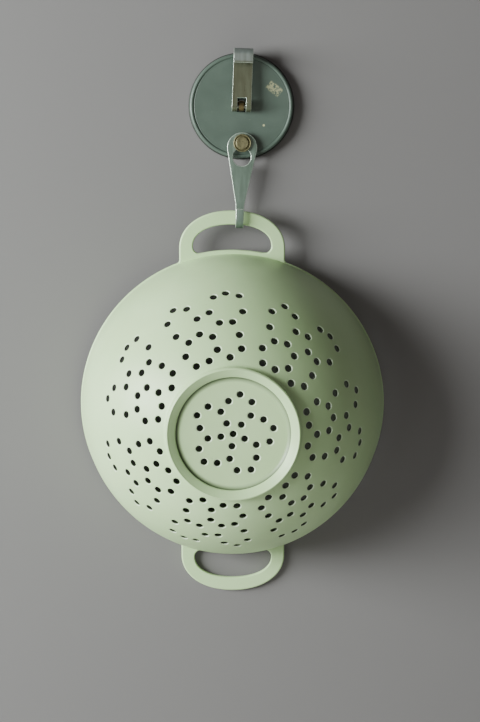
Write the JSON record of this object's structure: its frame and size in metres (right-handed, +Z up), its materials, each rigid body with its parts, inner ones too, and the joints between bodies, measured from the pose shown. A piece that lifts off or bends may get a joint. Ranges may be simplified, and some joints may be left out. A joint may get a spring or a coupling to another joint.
{
  "type": "wall-hung colander",
  "caption": "Bowl-shaped colander with two loop handles, hung on a flat steel hook that swings from a lever-locked suction wall holder.",
  "frame": {"origin": "centre of the suction pad's sealing face, on the wall", "axes": "+Y into the wall, +Z up along the hanging direction, +X to the right as seen from the room"},
  "size_m": [0.25, 0.14, 0.4487],
  "materials": {
    "plate_paint": "satin grey-green paint, lightly scuffed",
    "pad_rubber": "matte",
    "insert_steel": "plain",
    "lever_steel": "brushed along its length",
    "pin_steel": "plain",
    "draw_brass": "dull",
    "stud_brass": "dull, turned",
    "hook_steel": "satin, greenish grey",
    "colander_melamine": "satin pale sage green"
  },
  "bodies": {
    "wall_plate": {"cover_plate": "plate_paint", "suction_pad": "pad_rubber", "hook_stud": "stud_brass", "hook_stud_washer": "insert_steel"},
    "draw_stud": {"draw_stud": "draw_brass", "pad_insert": "insert_steel"},
    "lever": {"lever": "lever_steel", "lever_pin": "pin_steel"},
    "hook": {"swing_hook": "hook_steel"},
    "colander": {"colander": "colander_melamine"}
  },
  "joints": [
    {"name": "stud_slide", "type": "slide", "parent": "wall_plate", "child": "draw_stud", "axis": [0, 1, 0], "range_m": [0, 0.0028], "deforming": ["suction_pad"]},
    {"name": "lever_turn", "type": "hinge", "parent": "draw_stud", "child": "lever", "pos_m": [0, -0.01643, -0.001], "axis": [1, 0, 0], "range_deg": [0, 100]},
    {"name": "hook_swing", "type": "hinge", "parent": "wall_plate", "child": "hook", "pos_m": [0.0018, -0.0133, -0.03], "axis": [0, 1, 0], "range_deg": [-75, 75]},
    {"name": "colander_tilt", "type": "hinge", "parent": "hook", "child": "colander", "pos_m": [0.0018, -0.0205, -0.0957], "axis": [-1, 0, 0], "range_deg": [0, 15]}
  ],
  "couplings": [
    {"joint": "stud_slide", "follows": "lever_turn", "m_per_rad": 0.0015797}
  ]
}
